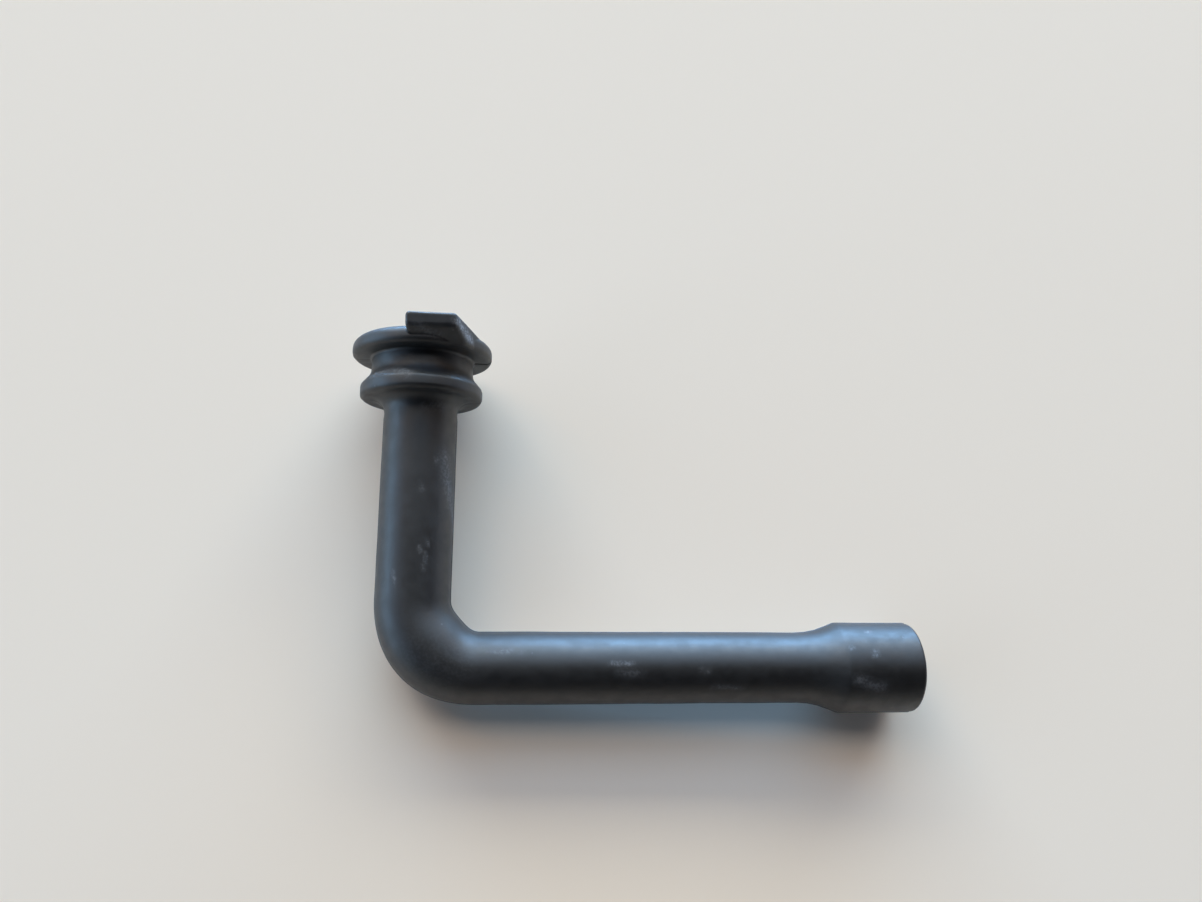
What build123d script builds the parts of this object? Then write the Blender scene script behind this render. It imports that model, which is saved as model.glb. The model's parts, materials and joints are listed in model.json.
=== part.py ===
"""Moulded rubber oil hose of a chainsaw.

One rubber moulding that carries chain oil from the tank to the pump. The short leg ends in a grommet head
that snaps into the tank wall, with a lug that shows which way round it goes. The long leg ends in a widened
socket that pushes over the pump's nipple.

The mould frame starts where the two leg axes cross: X runs along the long leg, Y along the short leg, and Z
points to the lug's side. The finished hose lies on its back with the lug up, and its origin is the middle of
the grommet groove.
"""
import os
from math import cos, pi, sin, sqrt

from build123d import *

# Tube
bore_diameter = 4.0
long_leg_wall = 1.5
short_leg_wall = 1.73
elbow_radius = 6.7  # of the centre line
elbow_swell = 0.34  # extra wall in the middle of the bend
elbow_sections = 9

# Long leg, from the crossing of the axes to the socket's mouth
long_leg_length = 52.0
socket_length = 8.1
socket_wall = 1.54
socket_bore_diameter = 6.0
socket_bore_depth = 8.5
socket_bore_taper = 1.5  # length of the cone that leads into the tube's bore
flare_length = 2.6
flare_root_radius = 9.0
flare_shoulder_radius = 1.0
socket_edge_chamfer = 0.3
mouth_chamfer = 0.3  # inside both mouths

# Flash: the thin bead that the mould's parting line leaves along the outside of the legs and the elbow
flash_width = 0.18
flash_height = 0.08

# Short leg, from the crossing of the axes to the underside of the head
short_leg_length = 27.2
head_root_chamfer = 0.7

# Grommet head: a lower flange with a sloped shoulder, a groove for the tank wall, and an upper flange
lower_flange_thickness = 2.55
lower_flange_height = 1.05  # above the groove's floor
lower_flange_rim = 1.3  # height of its outer band
lower_flange_chamfer = 0.35
groove_diameter = 10.5
groove_width = 1.85
upper_flange_thickness = 1.75
upper_flange_height = 2.0  # above the groove's floor
upper_flange_crown = 0.55  # of its rounded rim

# Lug on the upper flange: a flat tab that leans up and away from the long leg
lug_width = 5.0
lug_thickness = 1.25
lug_overhang = 1.05  # past the upper flange's rim
lug_offset = 1.15  # from the short leg's axis to the middle of the tip
lug_skew = 2.6  # sideways run from the tip to the root
lug_rise = 1.15  # of the tip's underside above its root
lug_root_depth = 4.3  # from the rim back to the buried root
lug_root_cover = 0.2  # of flange below the root
lug_edge_radius = 0.25

# Radii and stations worked out from the sizes above
bore_radius = bore_diameter / 2
long_leg_radius = bore_radius + long_leg_wall
short_leg_radius = bore_radius + short_leg_wall
elbow_middle = elbow_radius * (1 - sqrt(0.5))
elbow_shares = [section / (elbow_sections - 1) for section in range(elbow_sections)]
socket_bore_radius = socket_bore_diameter / 2
socket_radius = socket_bore_radius + socket_wall
socket_start = long_leg_length - socket_length
flare_start = socket_start - flare_length
socket_bore_end = long_leg_length - socket_bore_depth
groove_radius = groove_diameter / 2
lower_flange_radius = groove_radius + lower_flange_height
upper_flange_radius = groove_radius + upper_flange_height
groove_start = short_leg_length + lower_flange_thickness
groove_end = groove_start + groove_width
upper_flange_middle = groove_end + upper_flange_thickness / 2
head_top = groove_end + upper_flange_thickness
lug_tip = upper_flange_radius + lug_overhang
lug_root = upper_flange_radius - lug_root_depth
lug_bottom = groove_end + lug_root_cover
lug_tip_bottom = lug_bottom + lug_rise
flash_root = bore_radius + long_leg_wall / 2


def elbow_section_radius(share):
    """Radius of the elbow at a share of the bend, from the short leg to the long one."""
    return short_leg_radius + (long_leg_radius - short_leg_radius) * share + elbow_swell * sin(pi * share) ** 2


def outside_bend(share, distance):
    """The point outside the bend, at a share of it and a distance from its centre line."""
    reach = elbow_radius + distance
    return elbow_radius - reach * cos(share * pi / 2), elbow_radius - reach * sin(share * pi / 2)


# Rest: the elbow, the start of the socket and the upper flange's rim touch the ground
elbow_foot = Vector(elbow_middle, elbow_middle, -elbow_section_radius(0.5))
socket_foot = Vector(socket_start, 0, -socket_radius)
rim_foot = Vector(0, upper_flange_middle, -upper_flange_radius)
ground = Plane([elbow_foot, socket_foot, rim_foot])
groove_middle = Vector(0, (groove_start + groove_end) / 2, 0)
rest = Plane(groove_middle, x_dir=Axis.Y.direction.cross(ground.z_dir), z_dir=ground.z_dir)
mould = Plane(rest.location.inverse())
long_axis = Axis(mould.origin, mould.x_dir)
short_axis = Axis(mould.origin, mould.y_dir)

# Centre line of the tube, from the head's mouth round the elbow to the socket's mouth
with BuildLine(mould) as centre_line:
    FilletPolyline((0, head_top), (0, 0), (long_leg_length, 0), radius=elbow_radius)
bend = centre_line.edges().filter_by(GeomType.CIRCLE)[0]


def cross_section(line, share):
    """The plane across a line, at a share of its length, with its X pointing into the bend."""
    forward = line % share
    return Plane(line @ share, x_dir=mould.z_dir.cross(forward), z_dir=forward)


# Lug: its side profile, cut to a skewed tab by its plan
with BuildPart() as lug:
    with BuildSketch(Plane(mould.origin, x_dir=mould.z_dir, z_dir=-mould.x_dir)):
        with BuildLine():
            Polyline(
                (lug_root, lug_bottom),
                (groove_radius, lug_bottom),
                (lug_tip, lug_tip_bottom),
                (lug_tip, lug_tip_bottom + lug_thickness),
                (groove_radius, lug_bottom + lug_thickness),
                (lug_root, lug_bottom + lug_thickness),
                close=True,
            )
        make_face()
    extrude(amount=lug_width + lug_skew + lug_offset, both=True)
    with BuildSketch(Plane(mould.origin, x_dir=mould.x_dir, z_dir=-mould.y_dir)):
        with BuildLine():
            Polyline(
                (lug_offset - lug_width / 2, lug_tip),
                (lug_offset + lug_width / 2, lug_tip),
                (lug_offset + lug_width / 2 + lug_skew, lug_root),
                (lug_offset - lug_width / 2 + lug_skew, lug_root),
                close=True,
            )
        make_face()
    extrude(amount=-(head_top + lug_rise + lug_thickness), mode=Mode.INTERSECT)
    fillet(lug.faces().sort_by(Axis(mould.origin, mould.z_dir))[-1].edges(), lug_edge_radius)

with BuildPart() as oil_hose:
    # Short leg and grommet head
    with BuildSketch(mould):
        with BuildLine():
            Polyline(
                (0, head_top),
                (0, elbow_radius),
                (short_leg_radius, elbow_radius),
                (short_leg_radius, short_leg_length - head_root_chamfer),
                (short_leg_radius + head_root_chamfer, short_leg_length),
                (lower_flange_radius - lower_flange_chamfer, short_leg_length),
                (lower_flange_radius, short_leg_length + lower_flange_chamfer),
                (lower_flange_radius, short_leg_length + lower_flange_rim),
                (groove_radius, groove_start),
                (groove_radius, groove_end),
                (upper_flange_radius - upper_flange_crown, groove_end),
            )
            ThreePointArc(
                (upper_flange_radius - upper_flange_crown, groove_end),
                (upper_flange_radius, upper_flange_middle),
                (upper_flange_radius - upper_flange_crown, head_top),
            )
            Line((upper_flange_radius - upper_flange_crown, head_top), (0, head_top))
        make_face()
    revolve(axis=short_axis)

    # Long leg, flare and socket
    with BuildSketch(mould):
        with BuildLine():
            flare_outline = FilletPolyline(
                (elbow_radius, long_leg_radius),
                (flare_start, long_leg_radius),
                (socket_start, socket_radius),
                (long_leg_length - socket_edge_chamfer, socket_radius),
                radius=[flare_root_radius, flare_shoulder_radius],
            )
            Polyline(
                flare_outline @ 1,
                (long_leg_length, socket_radius - socket_edge_chamfer),
                (long_leg_length, 0),
                (elbow_radius, 0),
                flare_outline @ 0,
            )
        make_face()
    revolve(axis=long_axis)

    # Elbow: round sections that swell in the middle of the bend
    for share in elbow_shares:
        with BuildSketch(cross_section(bend, share)):
            Circle(elbow_section_radius(share))
    sweep(path=bend, multisection=True)

    # Flash, from the head's root to the flare
    with BuildSketch(mould.offset(-flash_width / 2)):
        with BuildLine():
            Polyline(
                outside_bend(0, flash_root),
                (-flash_root, short_leg_length - head_root_chamfer / 2),
                (-short_leg_radius - flash_height, short_leg_length - head_root_chamfer / 2),
                outside_bend(0, short_leg_radius + flash_height),
            )
            Spline([outside_bend(share, elbow_section_radius(share) + flash_height) for share in elbow_shares])
            Polyline(
                outside_bend(1, long_leg_radius + flash_height),
                (flare_start + flare_length / 2, -long_leg_radius - flash_height),
                (flare_start + flare_length / 2, -flash_root),
                outside_bend(1, flash_root),
            )
            RadiusArc(outside_bend(1, flash_root), outside_bend(0, flash_root), elbow_radius + flash_root)
        make_face()
    extrude(amount=flash_width)

    add(lug.part)

    # Bore, eased at the head's mouth and widened in the socket
    with BuildSketch(cross_section(centre_line.wire(), 0)):
        Circle(bore_radius)
    sweep(path=centre_line.wire(), mode=Mode.SUBTRACT)
    with BuildSketch(mould):
        with BuildLine():
            Polyline(
                (0, head_top),
                (bore_radius + mouth_chamfer, head_top),
                (bore_radius, head_top - mouth_chamfer),
                (0, head_top - mouth_chamfer),
                close=True,
            )
        make_face()
    revolve(axis=short_axis, mode=Mode.SUBTRACT)
    with BuildSketch(mould):
        with BuildLine():
            Polyline(
                (long_leg_length, 0),
                (long_leg_length, socket_bore_radius + mouth_chamfer),
                (long_leg_length - mouth_chamfer, socket_bore_radius),
                (socket_bore_end, socket_bore_radius),
                (socket_bore_end - socket_bore_taper, bore_radius),
                (socket_bore_end - socket_bore_taper, 0),
                close=True,
            )
        make_face()
    revolve(axis=long_axis, mode=Mode.SUBTRACT)

os.makedirs("parts", exist_ok=True)
oil_hose.part.label = "oil_hose"
export_step(oil_hose.part, "parts/oil_hose.step")
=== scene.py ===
"""Looks of a moulded rubber oil hose: a finished rubber skin in place of the plain solid, on a pale floor.

The skin is drawn in the mould frame, in millimetres: X runs along the long leg, Y along the short leg, and Z
points to the lug's side, from where the two leg axes cross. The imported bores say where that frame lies.
"""
import json
from math import cos, exp, pi, sin, tan

import bmesh
import bpy
from mathutils import Matrix, Vector, geometry, noise
from mathutils.bvhtree import BVHTree


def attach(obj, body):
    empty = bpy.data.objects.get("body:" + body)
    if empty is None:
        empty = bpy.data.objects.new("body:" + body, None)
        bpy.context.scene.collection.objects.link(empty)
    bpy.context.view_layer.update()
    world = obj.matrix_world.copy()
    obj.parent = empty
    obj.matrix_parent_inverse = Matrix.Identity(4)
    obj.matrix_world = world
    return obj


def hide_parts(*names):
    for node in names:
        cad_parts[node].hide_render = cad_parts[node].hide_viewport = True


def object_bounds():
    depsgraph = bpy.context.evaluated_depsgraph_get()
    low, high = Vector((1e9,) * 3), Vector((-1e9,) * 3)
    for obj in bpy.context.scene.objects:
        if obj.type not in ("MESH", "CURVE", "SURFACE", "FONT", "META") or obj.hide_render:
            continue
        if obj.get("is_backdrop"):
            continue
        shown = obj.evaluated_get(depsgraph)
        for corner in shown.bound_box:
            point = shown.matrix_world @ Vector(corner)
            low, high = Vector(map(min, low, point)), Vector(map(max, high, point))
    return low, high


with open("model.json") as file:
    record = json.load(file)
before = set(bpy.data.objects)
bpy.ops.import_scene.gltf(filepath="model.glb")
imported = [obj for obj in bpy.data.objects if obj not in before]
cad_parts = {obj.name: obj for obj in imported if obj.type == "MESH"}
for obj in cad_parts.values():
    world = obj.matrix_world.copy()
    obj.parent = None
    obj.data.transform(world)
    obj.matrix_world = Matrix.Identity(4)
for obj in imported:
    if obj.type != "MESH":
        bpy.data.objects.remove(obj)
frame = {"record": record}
cad_box = [list(corner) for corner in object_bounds()]

MM = 0.001
photo_width, photo_height = 1202, 902

# Hose sizes, in millimetres, as in the part's source
bore_radius = 2.0
long_leg_radius = 3.5
short_leg_radius = 3.73
elbow_radius = 6.7
elbow_swell = 0.34
long_leg_length = 52.0
socket_start = 43.9
socket_radius = 4.54
socket_bore_radius = 3.0
socket_bore_end = 43.5
socket_bore_taper = 1.5
flare_length = 2.6
short_leg_length = 27.2
lower_flange_radius = 6.3
lower_flange_rim = 1.3
groove_radius = 5.25
groove_start = 29.75
groove_end = 31.6
upper_flange_radius = 7.25
head_top = 33.35

# Lug, in millimetres: a little thicker than the solid's, with a sloped top and its own run on each side
lug_width = 5.0
lug_thickness = 1.4
lug_tip = 8.3
lug_knee = 6.2  # where its underside starts to rise
lug_root = 2.95
lug_root_cover = 0.15  # of flange over the root
lug_offset = 1.15
lug_left_skew = 0.9  # sideways run of each side from the tip to the root
lug_right_skew = 2.7
lug_bottom = 31.65
lug_rise = 1.32
lug_tip_lean = 0.13  # of the tip's face towards the elbow

# Roundings of the moulding's edges
mouth_round = 0.3
upper_rim_top_round = 0.85
upper_rim_round = 0.55
groove_top_round = 0.3
groove_bottom_round = 1.5
shoulder_round = 0.5
lower_rim_round = 0.5
head_root_round = 1.4
flare_root_round = 9.0
flare_shoulder_round = 1.4
socket_edge_round = 0.35
lug_round = 0.38

# Mesh density
ring_points = 224
ring_crowding = 0.6  # share by which the points crowd towards the parting line
outer_step = 0.6
bore_step = 1.5
arc_turn = pi / 14
elbow_rings = 36
elbow_bore_rings = 18
lug_edge_length = 0.3
lug_edge_segments = 5
round_profile = 0.5
lug_refinements = 5
sharp_angle = pi / 4

# Small faults of a real moulding
parting_height = 0.08
head_parting_height = 0.03
parting_width = 0.09
flange_nick_depth = 0.16  # where the mould halves meet on the upper flange, on the long leg's side
flange_nick_width = 0.14
waves = ((5.0, 0.030), (1.6, 0.009))  # wavelength and height of the uneven skin
elbow_bore_margin = 0.5  # past the bore, where the skin is taken to start
leg_bore_margin = 0.2
flange_margin = 0.05

# Camera, as the photograph was taken
focal_length_px = 894.67
sensor_width = 36.0
camera_aim = Vector((19.063, 22.512, 0.0))  # in the middle of the picture
camera_distance = 95.554
camera_pitch, camera_yaw, camera_roll = -0.2, 0.127, -0.003
camera_near, camera_far = 0.002, 20.0  # metres

# Rubber: colours, roughness and the sizes of its patterns, in millimetres
rubber_dark = (0.0014, 0.0015, 0.0019, 1)
rubber_light = (0.0032, 0.0034, 0.0041, 1)
bloom_colour = (0.010, 0.0105, 0.012, 1)
bloom_share = 0.5
# also the colour of the highlights painted on the lug, the lower flange's shoulder and the elbow
dust_and_highlight_colour = (0.30, 0.31, 0.33, 1)
stray_dust_share = 0.19
roughness_low, roughness_high = 0.48, 0.58
mark_roughness = 0.5  # added where the marks are: the dusty ones and the painted highlights
grain_share = 0.35  # of the fine grain in the relief
relief_strength = 0.35
relief_height = 0.02
mottle_size = 3.0
bloom_size = 7.0
grit_size = 0.28
speck_spacing = 1.5
speck_patch_size = 2.2
satin_size = 1.2
grain_size = 0.16
dent_size = 0.9
rubber_ior = 1.5
rubber_specular = 1.0
sheen_weight = 0.03
sheen_roughness = 0.35

# Stage, in metres
floor_size = 1.0
floor_roughness = 0.9
floor_colour = (0.98, 0.84, 0.69, 1)  # warm, so that it looks neutral under the blue window
horizon_colour = (0.28, 0.28, 0.28, 1)
sky_colour = (0.02, 0.02, 0.022, 1)
sky_start, sky_full = 0.02, 0.20  # rise of the direction over which the horizon fades
lamp_distance = 2.7

# Soft boxes: azimuth from +X towards +Y and elevation, in degrees, width and height as shares of the
# distance, radiance and colour
soft_boxes = {
    "window_low": (90, 4.2, 1.50, 0.133, 52.0, (0.28, 0.58, 1.0)),
    "window": (90, 27, 1.50, 0.267, 6.8, (0.95, 1.0, 0.95)),
    "window_top": (90, 45, 1.22, 0.300, 2.8, (0.20, 0.55, 1.0)),
    "sky": (90, 65, 1.00, 0.300, 1.8, (0.82, 0.90, 1.0)),
    "left_side": (180, 5.5, 1.00, 0.178, 8.0, (0.38, 0.68, 1.0)),
    "left_high": (180, 25, 1.00, 0.322, 1.3, (0.72, 0.78, 1.0)),
    "right_side": (0, 5.5, 1.00, 0.178, 1.4, (0.80, 0.84, 1.0)),
    "far_left": (135, 38, 0.50, 0.600, 2.3, (1.0, 0.76, 0.54)),
    "far_right": (45, 38, 0.50, 0.600, 0.9, (1.0, 0.60, 0.30)),
}

# Dust, scuffs and painted highlights: photograph pixels from and to, width in millimetres, strength
dust_and_light_marks = {
    "short_leg_scuff_top": ((446, 460), (448, 480), 0.90, 0.22),
    "short_leg_scuff_middle": ((448, 480), (451, 503), 0.75, 0.33),
    "short_leg_scuff_tip": ((451, 503), (453, 530), 0.40, 0.32),
    "short_leg_edge_specks": ((436, 459), (446, 457), 0.22, 0.43),
    "short_leg_round_mark": ((420, 486), (422, 488), 0.30, 0.19),
    "short_leg_dash": ((419, 549), (428, 544), 0.13, 0.43),
    "short_leg_speck": ((425, 555), (426, 556), 0.16, 0.32),
    "short_leg_smear": ((425, 561), (423, 568), 0.20, 0.21),
    "short_leg_left_specks": ((393, 574), (395, 583), 0.2, 0.32),
    "long_leg_first_specks": ((493, 652), (509, 651), 0.25, 0.43),
    "long_leg_single_speck": ((519, 651), (519, 654), 0.16, 0.48),
    "long_leg_middle_specks": ((610, 663), (633, 664), 0.22, 0.43),
    "long_leg_middle_smear": ((622, 672), (640, 674), 0.4, 0.16),
    "long_leg_low_specks": ((715, 687), (740, 688), 0.28, 0.24),
    "long_leg_end_speck": ((704, 670), (708, 671), 0.3, 0.21),
    "socket_top_speck": ((867, 632), (869, 632), 0.2, 0.53),
    "socket_left_speck": ((842, 649), (842, 652), 0.22, 0.37),
    "socket_middle_speck": ((851, 648), (853, 648), 0.22, 0.43),
    "socket_right_speck": ((874, 651), (876, 655), 0.22, 0.43),
    "socket_scuff": ((859, 680), (882, 688), 0.55, 0.27),
    # painted light: a faint lighter tone over the elbow's middle, standing in for light it catches
    "elbow_painted_light": ((418, 655), (452, 667), 2.2, 0.07),
    "head_root_specks": ((424, 404), (441, 405), 0.4, 0.19),
    # painted highlight: a light band along the top of the lower flange's shoulder, drawn in the dust colour
    "groove_painted_highlight": ((375, 374), (408, 372), 0.40, 0.55),
    # painted highlight: the lug's right face made lighter, as if lit from the right
    "lug_side_painted_highlight": ((458, 321), (471, 340), 0.48, 0.95),
    "lug_dust": ((418, 326), (438, 335), 0.5, 0.19),
}
mark_reach = 3  # widths from a mark to where it ends


def mount(name):
    """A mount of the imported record."""
    return next(m for m in frame["record"]["mounts"] if m["name"] == name)


def mould_frame():
    """The mould frame in the row frame, in metres: its X and Y are the axes of the two bores."""
    socket, head = mount("socket_bore"), mount("head_bore")
    along, rise = Vector(socket["axis"]).normalized(), Vector(head["axis"]).normalized()
    on_long, on_short = Vector(socket["pos_m"]), Vector(head["pos_m"])
    corner = geometry.intersect_line_line(on_long, on_long + along, on_short, on_short + rise)[0]
    turn = Matrix((along, rise, along.cross(rise).normalized())).transposed()
    return Matrix.Translation(corner) @ turn.to_4x4()


mould = mould_frame()
mould_mm = mould @ Matrix.Scale(MM, 4)


# Outlines


def rounded_corner(before, corner, after, radius):
    """Points of the arc that rounds a corner of an outline."""
    back, on = (before - corner).normalized(), (after - corner).normalized()
    half = back.angle(on) / 2
    centre = corner + (back + on).normalized() * radius / sin(half)
    start, end = corner + back * radius / tan(half) - centre, corner + on * radius / tan(half) - centre
    turn = start.angle(end)
    steps = max(3, round(turn / arc_turn))
    return [
        centre + (start * sin(turn * (1 - k / steps)) + end * sin(turn * k / steps)) / sin(turn)
        for k in range(steps + 1)
    ]


def rounded_outline(corners):
    """Points (station, radius) through corners (station, radius, rounding), with even steps between."""
    places = [Vector(c[:2]) for c in corners]
    points = [places[0]]
    for before, corner, after, spec in zip(places, places[1:], places[2:], corners[1:]):
        points += rounded_corner(before, corner, after, spec[2])
    points.append(places[-1])
    filled = []
    for a, b in zip(points, points[1:]):
        in_bore = max(a.y, b.y) <= socket_bore_radius
        step = bore_step if in_bore else outer_step
        steps = max(1, round((b - a).length / step))
        filled += [a.lerp(b, k / steps) for k in range(steps)]
    return filled + [points[-1]]


def short_leg_outline():
    """From the bore at the elbow, over the head, down to the skin at the elbow."""
    return rounded_outline([
        (elbow_radius, bore_radius),
        (head_top, bore_radius, mouth_round),
        (head_top, upper_flange_radius, upper_rim_top_round),
        (groove_end, upper_flange_radius, upper_rim_round),
        (groove_end, groove_radius, groove_top_round),
        (groove_start, groove_radius, groove_bottom_round),
        (short_leg_length + lower_flange_rim, lower_flange_radius, shoulder_round),
        (short_leg_length, lower_flange_radius, lower_rim_round),
        (short_leg_length, short_leg_radius, head_root_round),
        (elbow_radius, short_leg_radius),
    ])


def long_leg_outline():
    """From the skin at the elbow, along to the socket's mouth, and back inside to the elbow."""
    return rounded_outline([
        (elbow_radius, long_leg_radius),
        (socket_start - flare_length, long_leg_radius, flare_root_round),
        (socket_start, socket_radius, flare_shoulder_round),
        (long_leg_length, socket_radius, socket_edge_round),
        (long_leg_length, socket_bore_radius, mouth_round),
        (socket_bore_end, socket_bore_radius, mouth_round),
        (socket_bore_end - socket_bore_taper, bore_radius, mouth_round),
        (elbow_radius, bore_radius),
    ])


# Skin


def elbow_ring(share, radius):
    """Centre, outward direction and radius of a ring, at a share of the bend from the short leg."""
    turn = share * pi / 2
    outward = -Vector((cos(turn), sin(turn), 0))
    return Vector((elbow_radius, elbow_radius, 0)) + outward * elbow_radius, outward, radius


def elbow_skin_radius(share):
    """Radius of the elbow at a share of the bend: it goes from one leg's to the other's, with a swell."""
    leg_radius = short_leg_radius + (long_leg_radius - short_leg_radius) * share
    return leg_radius + elbow_swell * sin(pi * share) ** 2


def skin_rings():
    """Every ring of the skin: up the bore and over the head, round the elbow, along and back inside."""
    rings = [(Vector((0, y, 0)), Vector((-1, 0, 0)), r) for y, r in short_leg_outline()]
    for k in range(1, elbow_rings):
        share = k / elbow_rings
        rings.append(elbow_ring(share, elbow_skin_radius(share)))
    rings += [(Vector((x, 0, 0)), Vector((0, -1, 0)), r) for x, r in long_leg_outline()]
    for k in range(elbow_bore_rings - 1, 0, -1):
        rings.append(elbow_ring(k / elbow_bore_rings, bore_radius))
    return rings


def ring_angles():
    """Angles round a ring, crowded towards the parting line at 0 and half a turn."""
    even = [2 * pi * k / ring_points for k in range(ring_points)]
    return [a - ring_crowding * sin(2 * a) / 2 for a in even]


def skin_mesh():
    """The tube as one closed band of rings, in the mould frame."""
    mesh = bmesh.new()
    up = Vector((0, 0, 1))
    directions = [(cos(a), sin(a)) for a in ring_angles()]
    loops = []
    for centre, outward, radius in skin_rings():
        loops.append([mesh.verts.new(centre + radius * (outward * c + up * s)) for c, s in directions])
    for loop, after in zip(loops, loops[1:] + loops[:1]):
        for k in range(ring_points):
            j = (k + 1) % ring_points
            mesh.faces.new((loop[k], loop[j], after[j], after[k]))
    bmesh.ops.recalc_face_normals(mesh, faces=mesh.faces)
    return mesh


def lug_mesh():
    """The tab on the upper flange: it leans up towards its tip and away from the long leg."""
    mesh = bmesh.new()
    root_top = head_top - lug_root_cover
    tip_top = lug_bottom + lug_rise + lug_thickness
    loops = []
    for z, bottom in ((lug_root, lug_bottom), (lug_knee, lug_bottom), (lug_tip, lug_bottom + lug_rise)):
        share = (lug_tip - z) / (lug_tip - lug_root)
        left = lug_offset - lug_width / 2 + lug_left_skew * share
        right = lug_offset + lug_width / 2 + lug_right_skew * share
        top = tip_top + (root_top - tip_top) * share
        low_z = z - lug_tip_lean * (top - bottom) if z == lug_tip else z
        corners = ((left, bottom, low_z), (right, bottom, low_z), (right, top, z), (left, top, z))
        loops.append([mesh.verts.new(corner) for corner in corners])
    for loop, after in zip(loops, loops[1:]):
        for k in range(4):
            j = (k + 1) % 4
            mesh.faces.new((loop[k], loop[j], after[j], after[k]))
    mesh.faces.new(loops[0])
    mesh.faces.new(loops[-1])
    bmesh.ops.recalc_face_normals(mesh, faces=mesh.faces)
    sharp = [e for e in mesh.edges if e.calc_face_angle() > sharp_angle]
    bmesh.ops.bevel(
        mesh,
        geom=sharp,
        offset=lug_round,
        segments=lug_edge_segments,
        profile=round_profile,
        affect="EDGES",
    )
    bmesh.ops.triangulate(mesh, faces=mesh.faces)
    for _ in range(lug_refinements):
        long_edges = [e for e in mesh.edges if e.calc_length() > lug_edge_length]
        bmesh.ops.subdivide_edges(mesh, edges=long_edges, cuts=1)
        bmesh.ops.triangulate(mesh, faces=mesh.faces)
    return mesh


def as_object(name, mesh):
    """A new object of the scene with that mesh, which is freed."""
    data = bpy.data.meshes.new(name)
    mesh.to_mesh(data)
    mesh.free()
    obj = bpy.data.objects.new(name, data)
    bpy.context.scene.collection.objects.link(obj)
    return obj


def joined_mesh(base, extra):
    """The union of two objects as a mesh; the objects are removed."""
    union = base.modifiers.new("union", "BOOLEAN")
    union.operation = "UNION"
    union.solver = "EXACT"
    union.object = extra
    evaluated = base.evaluated_get(bpy.context.evaluated_depsgraph_get())
    mesh = bmesh.new()
    mesh.from_mesh(evaluated.to_mesh())
    evaluated.to_mesh_clear()
    for obj in (base, extra):
        bpy.data.objects.remove(obj)
    return mesh


def parting_line(place):
    """Height of the mould's parting line over the skin, at a place in the mould frame."""
    on_upper_flange = place.y > groove_end - flange_margin and place.x > groove_radius
    if on_upper_flange:
        return -flange_nick_depth * exp(-((place.z / flange_nick_width) ** 2))
    on_head = place.y > short_leg_length - head_root_round
    height = head_parting_height if on_head else parting_height
    return height * exp(-((place.z / parting_width) ** 2))


def unevenness(place):
    """Height of the slight waves of the skin."""
    return sum(height * noise.noise(place / length) for length, height in waves)


def is_outside(place):
    """Whether a place lies on the skin and not in the bore."""
    in_bend = place.x < elbow_radius and place.y < elbow_radius
    if in_bend:
        from_centre = (Vector((elbow_radius, elbow_radius)) - place.xy).length
        return Vector((from_centre - elbow_radius, place.z)).length > bore_radius + elbow_bore_margin
    on_short_leg = place.y > place.x
    across = place.x if on_short_leg else place.y
    return Vector((across, place.z)).length > socket_bore_radius + leg_bore_margin


def weather(mesh):
    """Moves the skin along its normals, by the parting line and a slight unevenness."""
    mesh.normal_update()
    moves = []
    for vert in mesh.verts:
        if is_outside(vert.co):
            moves.append((vert, vert.normal * (parting_line(vert.co) + unevenness(vert.co))))
    for vert, move in moves:
        vert.co += move


def hose_skin():
    """The finished skin, which is shown in place of the solid."""
    tube = as_object("tube", skin_mesh())
    lug = as_object("lug", lug_mesh())
    mesh = joined_mesh(tube, lug)
    weather(mesh)
    mesh.transform(mould_mm)
    for face in mesh.faces:
        face.smooth = True
    skin = as_object("hose_skin", mesh)
    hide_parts("oil_hose")
    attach(skin, "root")
    return skin


# Camera


def camera_matrix():
    """The camera's place in the row frame, looking at its aim, turned as in the photograph."""
    pitch = Matrix.Rotation(camera_pitch, 3, "X")
    yaw = Matrix.Rotation(camera_yaw, 3, "Y")
    roll = Matrix.Rotation(camera_roll, 3, "Z")
    turn = (roll @ pitch @ yaw).transposed()
    place = camera_aim + turn @ Vector((0, 0, camera_distance))
    return Matrix.Translation(mould_mm @ place) @ (mould.to_3x3() @ turn).to_4x4()


def add_camera():
    data = bpy.data.cameras.new("camera")
    data.sensor_width = sensor_width
    data.lens = focal_length_px * sensor_width / photo_width
    data.clip_start = camera_near
    data.clip_end = camera_far
    camera = bpy.data.objects.new("camera", data)
    bpy.context.scene.collection.objects.link(camera)
    camera.matrix_world = camera_matrix()
    bpy.context.scene.camera = camera


# Dust and painted light


def seen_place(tree, pixel):
    """Where the line of sight through a pixel of the photograph meets the skin."""
    view = camera_matrix()
    ray = Vector((pixel[0] - photo_width / 2, photo_height / 2 - pixel[1], -focal_length_px))
    return tree.ray_cast(view.translation, view.to_3x3() @ ray.normalized())[0]


def distance_to_run(place, start, end):
    """Distance from a place to the straight line between two others."""
    nearest, share = geometry.intersect_point_line(place, start, end)
    if share < 0:
        nearest = start
    elif share > 1:
        nearest = end
    return (place - nearest).length


def paint_dust_and_light(skin):
    """Writes how dusty each point of the skin is, and how much highlight is painted on it, to the attribute
    that its material reads.
    """
    tree = BVHTree.FromObject(skin, bpy.context.evaluated_depsgraph_get())
    runs = []
    for start, end, width, strength in dust_and_light_marks.values():
        places = seen_place(tree, start), seen_place(tree, end)
        if None not in places:
            runs.append((*places, width * MM, strength))
    dust_and_light = skin.data.attributes.new("dust_and_light", "FLOAT", "POINT")
    for vert in skin.data.vertices:
        amount = 0.0
        for start, end, width, strength in runs:
            away = distance_to_run(vert.co, start, end) / width
            if away < mark_reach:
                amount = max(amount, strength * exp(-away * away))
        dust_and_light.data[vert.index].value = amount


# Material


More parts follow.
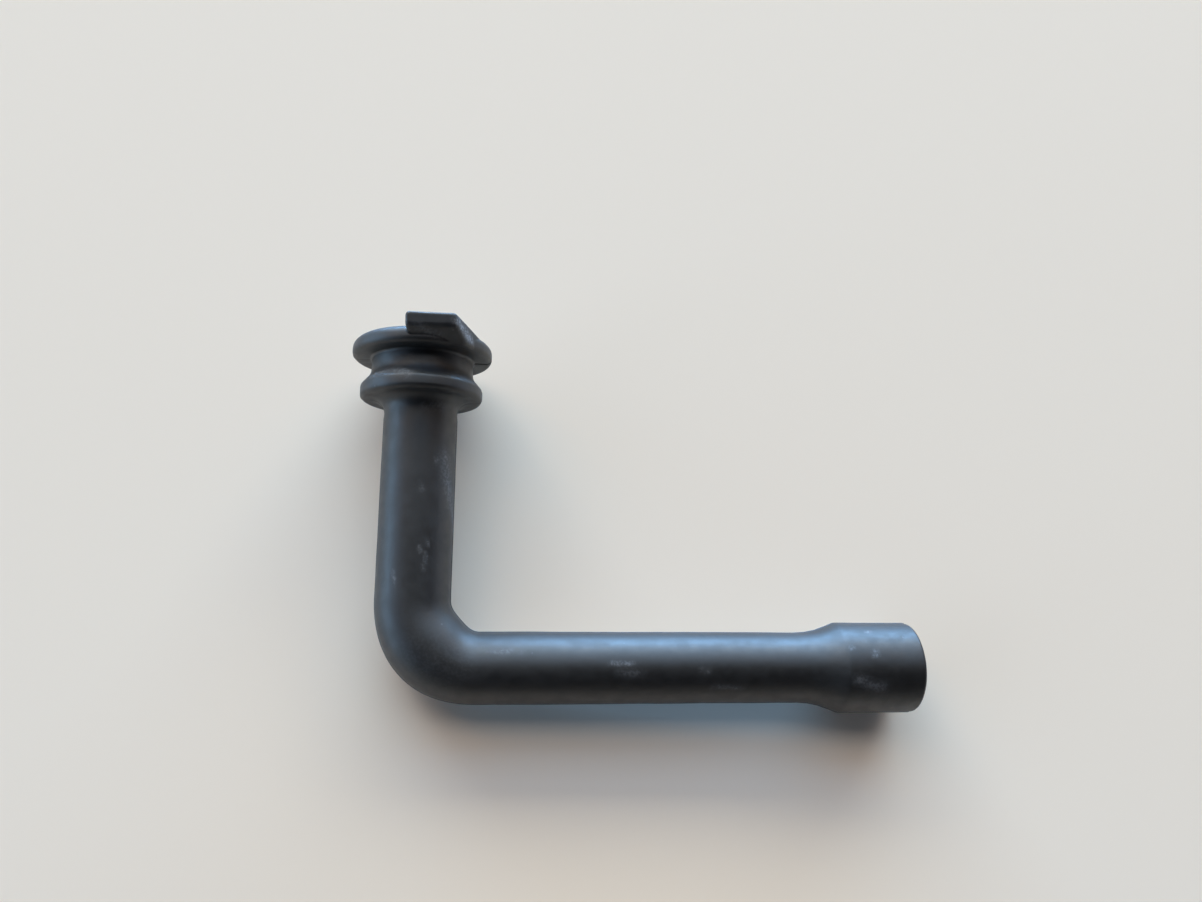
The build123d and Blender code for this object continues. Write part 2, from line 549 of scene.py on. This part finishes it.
class Nodes:
    """A short way to write a node tree."""

    def __init__(self, tree):
        self.tree = tree
        tree.nodes.clear()

    def feed(self, socket, value):
        """Links an output to a socket, or sets a plain value on it."""
        if isinstance(value, bpy.types.NodeSocket):
            self.tree.links.new(value, socket)
        else:
            socket.default_value = value

    def add(self, kind, inputs=None, **settings):
        node = self.tree.nodes.new(kind)
        for name, value in settings.items():
            setattr(node, name, value)
        for name, value in (inputs or {}).items():
            self.feed(node.inputs[name], value)
        return node

    def noise(self, coords, size_mm, detail=3.0, roughness=0.55):
        """Noise from 0 to 1 with features of about that size."""
        inputs = {"Vector": coords, "Scale": 1 / (size_mm * MM), "Detail": detail, "Roughness": roughness}
        return self.add("ShaderNodeTexNoise", inputs).outputs["Fac"]

    def ramp(self, value, low, high, to_low=0.0, to_high=1.0):
        """Value from low to high, as a smooth step from to_low to to_high."""
        inputs = {"Value": value, "From Min": low, "From Max": high, "To Min": to_low, "To Max": to_high}
        return self.add("ShaderNodeMapRange", inputs, interpolation_type="SMOOTHSTEP").outputs["Result"]

    def maths(self, operation, a, b):
        node = self.add("ShaderNodeMath", operation=operation)
        for socket, value in zip(node.inputs, (a, b)):
            self.feed(socket, value)
        return node.outputs[0]

    def mix(self, share, a, b):
        """Colour a to b by share; a Mix node has its colours at inputs 6 and 7 and output 2."""
        node = self.add("ShaderNodeMix", data_type="RGBA")
        for socket, value in zip((node.inputs[0], node.inputs[6], node.inputs[7]), (share, a, b)):
            self.feed(socket, value)
        return node.outputs[2]


def rubber_material():
    """Satin black rubber: mottled, with a grey bloom, dusty marks, painted highlights in a few places and a
    fine moulded grain.
    """
    material = bpy.data.materials.new("rubber")
    material.use_nodes = True
    n = Nodes(material.node_tree)
    coords = n.add("ShaderNodeTexCoord").outputs["Object"]

    mottle = n.ramp(n.noise(coords, mottle_size), 0.35, 0.7)
    bloom = n.ramp(n.noise(coords, bloom_size, 4.0), 0.45, 0.75)
    colour = n.mix(mottle, rubber_dark, rubber_light)
    colour = n.mix(n.maths("MULTIPLY", bloom, bloom_share), colour, bloom_colour)

    grit = n.ramp(n.noise(coords, grit_size, 2.0), 0.42, 0.62)
    # the marks carry dust and scuffs, and painted highlights on the lug, the lower flange's shoulder and the
    # elbow
    painted = n.add("ShaderNodeAttribute", attribute_name="dust_and_light").outputs["Fac"]
    marks = n.maths("MULTIPLY", painted, n.ramp(grit, 0.0, 1.0, 0.35, 1.0))
    cells = n.add("ShaderNodeTexVoronoi", {"Vector": coords, "Scale": 1 / (speck_spacing * MM)})
    dots = n.ramp(cells.outputs["Distance"], 0.05, 0.10, 1.0, 0.0)
    specks = n.maths("MULTIPLY", dots, n.ramp(n.noise(coords, speck_patch_size), 0.56, 0.64))
    dust_and_light = n.maths("MAXIMUM", marks, n.maths("MULTIPLY", specks, stray_dust_share))
    colour = n.mix(dust_and_light, colour, dust_and_highlight_colour)

    satin = n.ramp(n.noise(coords, satin_size, 4.0), 0.3, 0.7, roughness_low, roughness_high)
    rough = n.maths("ADD", satin, n.maths("MULTIPLY", dust_and_light, mark_roughness))

    grain = n.noise(coords, grain_size, 3.0, 0.6)
    dents = n.noise(coords, dent_size, 2.0)
    relief = n.maths("ADD", n.maths("MULTIPLY", grain, grain_share), dents)
    bump_inputs = {"Height": relief, "Strength": relief_strength, "Distance": relief_height * MM}
    bump = n.add("ShaderNodeBump", bump_inputs).outputs["Normal"]

    shader_inputs = {"Base Color": colour, "Roughness": rough, "Normal": bump}
    shader = n.add("ShaderNodeBsdfPrincipled", shader_inputs)
    shader.inputs["IOR"].default_value = rubber_ior
    shader.inputs["Specular IOR Level"].default_value = rubber_specular
    shader.inputs["Sheen Weight"].default_value = sheen_weight
    shader.inputs["Sheen Roughness"].default_value = sheen_roughness
    n.add("ShaderNodeOutputMaterial", {"Surface": shader.outputs[0]})
    return material


# Stage


def add_floor(level):
    """A plain pale floor that the hose lies on."""
    data = bpy.data.meshes.new("floor")
    mesh = bmesh.new()
    bmesh.ops.create_grid(mesh, x_segments=1, y_segments=1, size=floor_size / 2)
    bmesh.ops.translate(mesh, verts=mesh.verts, vec=(0, 0, level))
    mesh.to_mesh(data)
    mesh.free()
    floor = bpy.data.objects.new("floor", data)
    bpy.context.scene.collection.objects.link(floor)
    material = bpy.data.materials.new("floor")
    material.use_nodes = True
    shader = material.node_tree.nodes["Principled BSDF"]
    shader.inputs["Base Color"].default_value = floor_colour
    shader.inputs["Roughness"].default_value = floor_roughness
    shader.inputs["Specular IOR Level"].default_value = 0.0
    data.materials.append(material)
    floor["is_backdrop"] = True


def add_soft_box(name, azimuth, elevation, width, height, radiance, colour):
    """A soft box that faces the hose, as soft_boxes lists it."""
    a, e = azimuth * pi / 180, elevation * pi / 180
    way = Vector((cos(a) * cos(e), sin(a) * cos(e), sin(e)))
    middle = (Vector(cad_box[0]) + Vector(cad_box[1])) / 2
    lamp = bpy.data.lights.new(name, "AREA")
    lamp.shape = "RECTANGLE"
    lamp.size = width * lamp_distance
    lamp.size_y = height * lamp_distance
    lamp.energy = radiance * pi * lamp.size * lamp.size_y
    lamp.color = colour
    obj = bpy.data.objects.new(name, lamp)
    bpy.context.scene.collection.objects.link(obj)
    obj.location = middle + way * lamp_distance
    obj.rotation_euler = way.to_track_quat("Z", "Y").to_euler()
    obj.visible_camera = False


def add_world():
    """A room with a pale horizon, dark above it so that the rubber has dark reflections."""
    world = bpy.data.worlds.new("room")
    world.use_nodes = True
    bpy.context.scene.world = world
    n = Nodes(world.node_tree)
    way = n.add("ShaderNodeTexCoord").outputs["Generated"]
    rise = n.add("ShaderNodeSeparateXYZ", {"Vector": way}).outputs["Z"]
    colour = n.mix(n.ramp(rise, sky_start, sky_full), horizon_colour, sky_colour)
    back = n.add("ShaderNodeBackground", {"Color": colour, "Strength": 1.0})
    n.add("ShaderNodeOutputWorld", {"Surface": back.outputs[0]})


def add_light():
    for name, settings in soft_boxes.items():
        add_soft_box(name, *settings)


add_camera()
hose = hose_skin()
hose.data.materials.append(rubber_material())
paint_dust_and_light(hose)
add_world()
add_light()
add_floor(min(cad_box[0][2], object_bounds()[0].z))
bpy.context.scene.view_settings.view_transform = "Standard"
